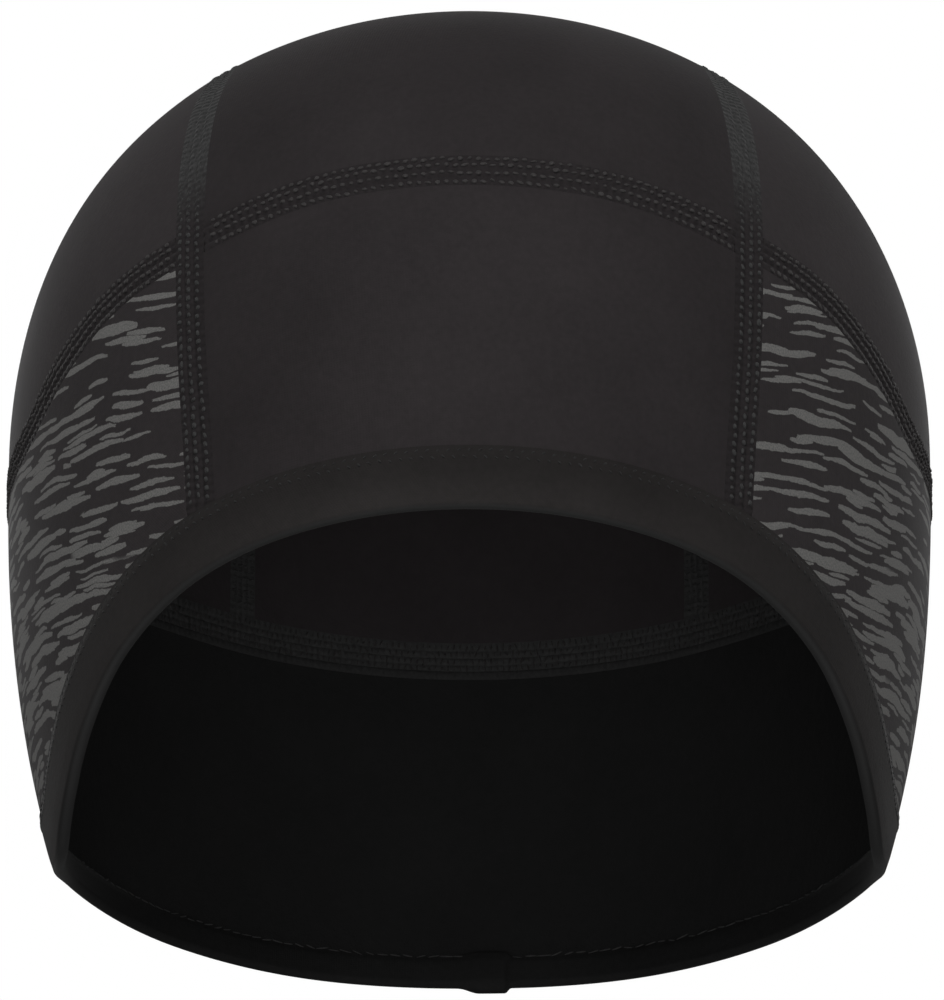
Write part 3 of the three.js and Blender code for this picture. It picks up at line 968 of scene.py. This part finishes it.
# The print's layers: lanes and cells in millimetres, the least and the further random share of a cell that
# half a streak is long, the same for its radius in shares of a lane, and how many cells stay empty
streak_layers = [
    {"lane": 2.5, "cell": 23, "half": (0.2, 0.28), "radius": (0.15, 0.15), "empty": 0.16, "seed": 3},
    {"lane": 1.9, "cell": 14, "half": (0.2, 0.26), "radius": (0.17, 0.15), "empty": 0.24, "seed": 7},
    {"lane": 4.0, "cell": 28, "half": (0.16, 0.24), "radius": (0.12, 0.15), "empty": 0.4, "seed": 5},
]
lane_slip = 17.0  # cells by which a lane may be shifted along
sway_across = 0.3  # share of a lane over which a streak's place varies
sway_along = 0.2  # the same, of a cell
taper_reach = 0.3  # share of a lane by which a streak's round ends go past its middle line
taper_loss = 0.65  # share of the radius that is lost towards the ends
chance_edge = 0.01
seed_step = 11.0
ink_edge = (-0.05, 0.08)  # how far inside its outline the ink starts and is full


def streaks(finish, u, v, thin, layer):
    """A mask of level streaks with tapered ends. The plane is cut into lanes, each shifted along by its own
    random amount, and into cells along a lane. Each cell holds one streak of random place, length and width:
    a point is in it where its distance from the streak's middle line is less than a radius that swells
    towards the middle. thin leaves out more of the streaks where it is higher."""
    lane, cell, seed = layer["lane"], layer["cell"], layer["seed"]
    row = v / lane
    row_index = row.math("FLOOR")
    slip = finish.random(row_index, seed)
    column = u / cell + slip * lane_slip
    column_index = column.math("FLOOR")
    size, place, sway, girth, chance = (
        finish.random(column_index, row_index, seed + seed_step * k) for k in range(1, 6)
    )
    half = (size * layer["half"][1] + layer["half"][0]) * cell
    across = (row - row_index - 0.5 - (sway - 0.5) * sway_across) * lane
    along = (column - column_index - 0.5 - (place - 0.5) * sway_along) * cell
    beyond = (along.math("ABSOLUTE") - half).math("MAXIMUM", 0.0)
    distance = (beyond * beyond + across * across) ** 0.5
    taper = along / (half + lane * taper_reach)
    radius = (girth * layer["radius"][1] + layer["radius"][0]) * lane * (1 - taper * taper * taper_loss)
    kept = finish.ramp(chance - thin, layer["empty"], layer["empty"] + chance_edge)
    return finish.ramp(radius - distance, *ink_edge) * kept


nape_girth = math.pi * cap_length / 2  # the girth map's first number at the nape
side_girth = nape_girth / 2  # and how far from there the streaks begin to dip
forward_slope = 0.16  # of the streaks at the middle of the brow

# Noise that moves the streaks: its scales round and up the cap for each millimetre, and how far it moves
# them up or down
drift_scales, drift_reach = (0.03, 0.04), 5.0
bend_scales, bend_reach = (0.14, 0.2), 1.4
fray_scales, fray_reach = (1.1, 1.6), 0.45
fray_along = 1.6  # how far the fray moves them along
fray_grain = (3.0, 0.65)  # its detail and roughness

# The share of the streaks left out: it starts at thin_start, grows by thin_share from the low to the high
# level of thin_rise, and falls by thick_share where the drift goes through thick_rise
thin_start = -0.1
thin_share, thin_rise = 0.4, (-65.0, 8.0)
thick_share, thick_rise = 0.2, (0.0, 0.2)

# The ink's fine grain: scale for each millimetre, detail and roughness, and its levels as shares of the ink's
ink_grain = (3.2, 3.0, 0.7)
ink_dull = 0.72
ink_bright = 1.2


def print_finish(name, base, ink):
    """Knit with a printed pattern of pale level streaks, which dip a little towards the brow. Slow noise
    bends their lanes and fast noise frays their edges. They are fewer towards the top, and a fine grain runs
    through the ink."""
    finish = Finish(name, 0.9)
    u, v = finish.chart("girth")

    def centred(scales, *settings):
        return finish.noise(finish.vector(u * scales[0], v * scales[1]), 1.0, *settings) - 0.5

    drift = centred(drift_scales)
    bend = centred(bend_scales)
    fray = centred(fray_scales, *fray_grain)
    forward = ((u - nape_girth).math("ABSOLUTE") - side_girth).math("MAXIMUM", 0.0)
    dip = forward * forward * (forward_slope / (2 * (nape_girth - side_girth)))
    level = v + dip + drift * drift_reach + bend * bend_reach + fray * fray_reach
    along = u + fray * fray_along
    thin = finish.ramp(v, *thin_rise) * thin_share
    thin = thin - finish.ramp(drift, *thick_rise) * thick_share + thin_start
    layers = [streaks(finish, along, level, thin, layer) for layer in streak_layers]
    mask = layers[0].math("MAXIMUM", layers[1]).math("MAXIMUM", layers[2])
    grain = finish.ramp(finish.noise(finish.vector(u, v), *ink_grain), *noise_span)
    pale = finish.blend(grain, shade(neutral, ink * ink_dull), shade(pale_ink, ink * ink_bright))
    return knitted(finish, finish.blend(mask, knit_ground(finish, warm_black, base), pale))


rib_height = 0.5  # of the stitches in a seam's relief, where that of the fuzz is 1
lint_start = 1.0  # distance past the arched seam at which the lint begins
lint_length = 14.0  # how unevenly it begins
lint_rise = 20.0  # distance over which it comes to cover the seam
lint_grain = (1.0, 4.0, 0.75)  # scale, detail and roughness

# Scales of the lint's noise in its two directions, for each millimetre along the seam and across it
lint_scales = ((0.8, 0.5), (-0.5, 1.7))


def seam_finish(name, tint, level, pale_from=None, pale_level=0.0):
    """The ground of a flat seam: cloth in fuzz, which rises and falls with the stitches. From the distance
    pale_from along it, it is covered by a lint of paler threads, which is noise drawn out aslant."""
    finish = Finish(name, 0.95)
    s, w = finish.chart("cloth")
    fuzz = finish.grain(*seam_fuzz)
    ground = finish.mottle(fuzz, tint, level, spread=0.3)
    if pale_from is not None:
        aslant = (s * along + w * across for along, across in lint_scales)
        lint = finish.noise(finish.vector(*aslant), *lint_grain)
        covered = finish.ramp(s + (lint - 0.5) * lint_length, pale_from, pale_from + lint_rise)
        pale = finish.mottle(finish.ramp(lint, *noise_span), neutral, pale_level, spread=0.4)
        ground = finish.blend(covered, ground, pale)
    height = beat(s, stitch_pitch) * rib_height + fuzz
    return finish.done(ground, height, strength=0.6, depth=0.0002)


def thread_finish(name, tint, level):
    """Spun thread: fine twist and some fluff."""
    finish = Finish(name, 0.75)
    fluff = finish.grain(*thread_fluff)
    return finish.done(finish.mottle(fluff, tint, level, spread=0.4), fluff, strength=0.5, depth=0.0001)


# The front and crown darken towards the long seams: painted shade.
plain_outside = cloth_finish("plain_knit", level=0.029, painted_shade_level=0.0252)
printed_outside = print_finish("printed_knit", base=0.031, ink=0.165)
brushed_plain = brushed_finish("brushed_plain", warm_black, level=0.045)
brushed_printed = brushed_finish("brushed_printed", neutral, level=0.026)
# The side panels have the plain knit made lighter: painted sheen, as their nap catches the light more.
sheen_painted_knit = cloth_finish("plain_knit_side", level=0.0335)
# The seam grounds are darker than the cloth beside them: painted shade between the stitches.
seam_ground = seam_finish("seam_ground", warm_black, level=0.0235)
seam_inside = seam_finish("seam_inside", neutral, level=0.065)
level_seam_thread = thread_finish("level_seam_thread", warm_thread, level=0.05)
long_seam_thread = thread_finish("long_seam_thread", neutral, level=0.05)
binding_thread = thread_finish("binding_thread", neutral, level=0.03)
pale_thread = thread_finish("pale_thread", neutral, level=0.08)
# The binding's inner level is lighter than its outer one: painted light that lifts the shade of the fold and
# the inside.
binding_knit = binding_finish("binding_knit", level=0.021, painted_fill_level=0.027)


# Pieces
def ride(piece, slot, *nodes):
    """A piece on the cap's one body, with the nodes that it replaces, which it hides. The slot is not used.
    """
    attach(piece, "root")
    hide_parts(*nodes)
    return piece


cloth = [plain_outside, brushed_plain]
side_cloth = [sheen_painted_knit, brushed_plain]
front = ride(panel("front_cloth", front_chart(), cloth), "plain_cloth", "front_panel")
crown = ride(panel("crown_cloth", crown_chart(), cloth), "plain_cloth", "crown_panel")
side_grid = side_chart()
sides = [
    ride(merge_corners(panel(f"side_cloth_{hand}", grid, side_cloth)), "plain_cloth", f"side_panel_{hand}")
    for hand, grid in (("left", side_grid), ("right", mirrored_rows(side_grid)))
]
lower = ride(
    panel("lower_cloth", lower_chart(), [printed_outside, brushed_printed]), "printed_cloth", "lower_panel"
)

tucked_in = 0.2  # how far the long seams' full height runs in under the binding
first_stitch = 0.9  # from there to their first stitch
arch_line = between(arch, mirrored(inner_long), inner_long)
ring_line = between(ring, front_outer, mirrored(front_outer))
long_middle = between(long_seam, cloth_brow_edge, nape_top)
long_covered = binding_outer_width - channel - tucked_in
to_arch = np.interp(crossing(long_middle, arch), np.arange(len(long_middle)), run(on_face(long_middle)))
long_fade_length = 12
long_fade_share = 0.5


def long_fade(places):
    """Size of the loops along a long seam: whole up to the arched seam, small over the crown."""
    return 1 - long_fade_share * smooth((places - to_arch) / long_fade_length)


level_seam = [seam_ground, seam_inside]
arch_band = ride(seam_band("arch_band", arch_line, level_rows, level_seam), "seam_thread", "seam_front_arch")
ring_band = ride(seam_band("ring_band", ring_line, level_rows, level_seam), "seam_thread", "seam_back_ring")
arch_threads = ride(seam_threads("arch_threads", arch_line, level_rows, level_seam_thread, 10), "seam_thread")
ring_threads = ride(seam_threads("ring_threads", ring_line, level_rows, level_seam_thread, 40), "seam_thread")
# Its ground is darker than the cloth beside it: painted shade between the stitches.
long_ground = seam_finish(
    "long_seam_ground", warm_black, level=0.0225, pale_from=to_arch + lint_start, pale_level=0.047
)
long_bands = []
long_threads = []
for hand, mirror, seed in (("left", False, 70), ("right", True, 90)):
    band = seam_band(
        f"long_band_{hand}", long_middle, long_rows, [long_ground, seam_inside], long_covered, mirror
    )
    long_bands.append(ride(band, "seam_thread", f"seam_long_{hand}"))
    loops = seam_threads(
        f"long_threads_{hand}", long_middle, long_rows, long_seam_thread, seed,
        long_covered + first_stitch, long_fade, mirror,
    )
    long_threads.append(ride(loops, "seam_thread"))

raw_edge_width = 1.3
raw_edge_height = 0.3
raw_edge_sunk = 0.05  # how deep it starts in the cloth
raw_edge_hidden = 0.4  # how far it runs under the seam


def raw_edge_piece(finish):
    """The strip of a cut panel edge that shows under the seam inside the nape: a low arch in section, whose
    height is the root of a sine."""
    across = np.linspace(-half_seam - raw_edge_width, -half_seam + raw_edge_hidden, 9)
    chart, _, flat = strip(ring_line, across)
    arch_shape = np.sin(np.linspace(0, math.pi, len(across)))[:, None] ** 0.5
    outer = raised(chart, np.full(chart.shape[:2], raw_edge_sunk - cloth_wall))
    inner = raised(chart, -cloth_wall - raw_edge_height * arch_shape + 0 * chart[..., 0])
    return shell("raw_edge", outer, inner, [finish, finish], {"cloth": flat})


raw_edge = ride(raw_edge_piece(seam_finish("cut_edge", neutral, level=0.05)), "seam_thread")

# The tape starts at the nape, so that its map's first and last numbers meet under the lap
tape_steps = 480
tape_line = np.roll(spaced(whole_edge, np.linspace(0, 1, tape_steps + 1))[:-1], tape_steps // 2, axis=0)
tape_line = np.concatenate([tape_line, tape_line[:1]])
binding = tape_piece("binding_tape", tape_line, 0, tape_thickness, True, binding_knit)
ride(binding, "binding_cloth", "edge_binding")


def nape_line(offset):
    """A line down the nape at one distance from the middle of the cap."""
    q = np.linspace(1, chart_rim, 60)
    p = solve(lambda p: dome(p, q)[..., 0] < offset, -1, 1, q.shape)
    return np.stack([p, q], axis=-1)


lap_base = 0.02  # height of the lap's ends above the tape
lap_rise = (0.12, 0.4)  # shares of the lap over which its ends rise
lap_skin = 0.2  # thickness
lap_ends = [nape_line(lap_offset + side * lap_width / 2) for side in (1, -1)]
lap_share = np.linspace(0, 1, 41)
lap_line = spaced(between(whole_edge, *lap_ends), lap_share)
lap_shape = smooth(lap_share / lap_rise[0]) * smooth((1 - lap_share) / lap_rise[1])
lap_lift = lap_base + (lap_wall + gap) * lap_shape
lap = tape_piece("binding_lap", lap_line, lap_lift, lap_skin, False, binding_knit)
ride(lap, "binding_cloth", "binding_overlap")

# Stitches of the binding: a zigzag near its outer edge and long ones inside
zigzag_rows = {"down": (0.9, 2.1), "lift": (-0.22, 0.0), "turn": (40, -40), "slip": (0, 0.85)}
zigzag_loop = (0.75, 0.36, 0.26)
zigzag_pitch = 1.7
inner_stitch = (2.3, 0.3, 0.26)
inner_stitch_pitch = 2.5
inner_stitch_down = 0.35  # from the tape's inner edge
inner_stitch_lift = 0.08
zigzag = []
for k, (down, lift, turn, slip) in enumerate(zip(*zigzag_rows.values())):
    row_line = shifted(tape_line, binding_outer_width - down, closed=True)
    height = tape_full + lift
    zigzag.append(threads(row_line, zigzag_pitch, height, zigzag_loop, turn, slip=slip, seed=120 + k))
inner_stitch_line = shifted(tape_line, binding_inner_width - inner_stitch_down, closed=True)
long_stitches = threads(
    inner_stitch_line, inner_stitch_pitch, tape_edge + inner_stitch_lift, inner_stitch,
    seed=130, inside=True, stray=outer_stray,
)
binding_stitches = ride(make_threads("binding_stitches", zigzag, binding_thread), "seam_thread")
inner_stitches = ride(make_threads("inner_stitches", [long_stitches], pale_thread), "seam_thread")

for piece, flat, area, with_pieces in (
    (front, (0.092, 0.060), None, [arch_band, arch_threads]),
    (crown, (0.092, 0.250), None, long_bands + long_threads),
    (sides[0], (0.250, 0.090), 0.0135, []),
    (sides[1], (0.250, 0.090), 0.0135, []),
    (lower, (0.470, 0.066), None, [ring_band, ring_threads, raw_edge]),
):
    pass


# Stage, light and camera, in metres
floor_height = -1.7
floor_size = 12
floor_bounce = 0.2  # the share of light that the floor throws back on to the cap
floor_seen = 0.8  # and the share that it throws to the eye


def make_floor():
    """A plain pale floor far below, as the cap is held at the height of a head."""
    bpy.ops.mesh.primitive_plane_add(size=floor_size, location=(0, 0, floor_height))
    floor = bpy.context.object
    floor.name = "floor"
    finish = Finish("pale_floor", 0.9, sheen=0.0)
    eye = finish.node("ShaderNodeLightPath", output="Is Camera Ray")
    finish.set("Base Color", finish.blend(eye, shade(neutral, floor_bounce), shade(neutral, floor_seen)))
    floor.data.materials.append(finish.material)


def make_world(above, below, low, high):
    """Plain white to the eye, and for the light a soft dome: one strength where a direction's height is under
    low, another above high, and in proportion between."""
    world = bpy.data.worlds.new("studio")
    bpy.context.scene.world = world
    world.use_nodes = True
    world.node_tree.nodes.clear()
    nodes = Nodes(world.node_tree)
    place = nodes.node("ShaderNodeTexCoord", output="Generated")
    height = nodes.node("ShaderNodeSeparateXYZ", {}, {0: place}, output="Z")
    strength = nodes.node("ShaderNodeMapRange", {}, {
        "Value": height, "From Min": low, "From Max": high, "To Min": below, "To Max": above,
    })
    dome_light = nodes.node("ShaderNodeBackground", {}, {"Color": shade(neutral, 1), "Strength": strength})
    white = nodes.node("ShaderNodeBackground", {}, {"Color": shade(neutral, 1)})
    eye = nodes.node("ShaderNodeLightPath", output="Is Camera Ray")
    mix = nodes.node("ShaderNodeMixShader", {}, {0: eye, 1: dome_light, 2: white})
    out = nodes.tree.nodes.new("ShaderNodeOutputWorld")
    nodes.tree.links.new(mix.socket, out.inputs["Surface"])


def aim(thing, target):
    """Turns a camera or lamp from where it is towards a point."""
    direction = np.array(target) - np.array(thing.location)
    flat = math.hypot(direction[0], direction[1])
    thing.rotation_euler = (math.atan2(flat, -direction[2]), 0, math.atan2(-direction[0], direction[1]))


def stand(name, data, place, target):
    """A lamp or camera at a place, turned towards a point."""
    thing = bpy.data.objects.new(name, data)
    bpy.context.scene.collection.objects.link(thing)
    thing.location = place
    aim(thing, target)
    return thing


def make_light(name, place, size, power, target):
    """A round lamp, its size in metres and its power in watts."""
    lamp = bpy.data.lights.new(name, "AREA")
    lamp.shape = "DISK"
    lamp.size = size
    lamp.energy = power
    stand(name, lamp, place, target)


view_elevation = -19.3  # degrees; the eye is below the cap's middle and looks up
view_distance = 1.2
aim_height = -0.0744
picture_height = 1000  # pixels
focal_pixels = 6840
sensor = 36  # millimetres, for the picture's height
aim_shift = (2.5, -22.3)  # pixels to the right and up, from the point aimed at to the picture's middle


def make_camera():
    """The camera in front of the cap and below it, turned to the cap's axis at one height."""
    data = bpy.data.cameras.new("camera")
    data.sensor_width = sensor
    data.lens = sensor * focal_pixels / picture_height
    data.shift_x, data.shift_y = (pixels / picture_height for pixels in aim_shift)
    data.clip_start = 0.05
    data.clip_end = 50
    turn = math.radians(view_elevation)
    place = (0, -view_distance * math.cos(turn), aim_height + view_distance * math.sin(turn))
    bpy.context.scene.camera = stand("camera", data, place, (0, 0, aim_height))


make_floor()
make_world(above=0.16, below=0, low=0.3, high=0.9)
middle = (0, 0, -0.07)
for name, place, size, power in (
    ("key", (0, -2.0, 0.9), 0.8, 26.5),
    ("side_left", (-1.8, 0.9, 0.5), 1.2, 12.0),
    ("side_right", (1.8, 0.9, 0.5), 1.2, 12.0),
    ("top", (0, 0.3, 2.0), 1.2, 1.2),
    ("inner_fill", (0, -1.4, -0.75), 0.8, 3.9),
    ("inner_fill_left", (-0.75, -1.2, -0.75), 0.6, 0.9),
    ("inner_fill_right", (0.75, -1.2, -0.75), 0.6, 0.9),
):
    make_light(name, place, size, power, middle)
make_camera()
bpy.context.scene.view_settings.view_transform = "Standard"
bpy.context.scene.view_settings.look = "None"
